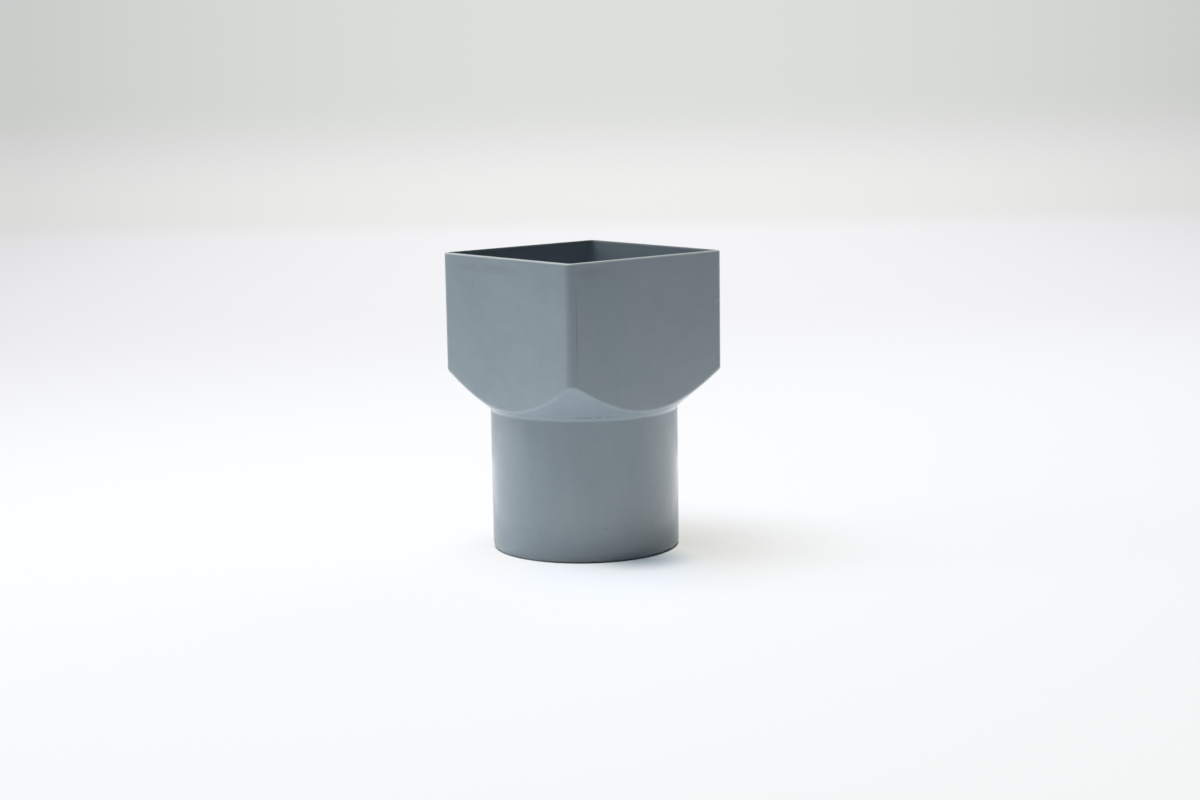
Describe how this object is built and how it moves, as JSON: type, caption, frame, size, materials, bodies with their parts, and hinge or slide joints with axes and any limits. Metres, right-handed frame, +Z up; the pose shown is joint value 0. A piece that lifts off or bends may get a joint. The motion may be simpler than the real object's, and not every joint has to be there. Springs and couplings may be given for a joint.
{
  "type": "downpipe reducer",
  "caption": "Square-to-round rainwater downpipe fitting: rounded square socket on top, cone-cut underside and round spigot below, moulded as one thin open shell.",
  "frame": {"origin": "centre of the round spigot's end face, which is the face that the part stands on", "axes": "+Z up the spigot's axis to the socket's mouth, +X and +Y square to the socket's flat faces"},
  "size_m": [0.1058, 0.1058, 0.158],
  "materials": {
    "grey_pvc": "satin"
  },
  "bodies": {
    "root": {"reducer_body": "grey_pvc"}
  },
  "joints": []
}
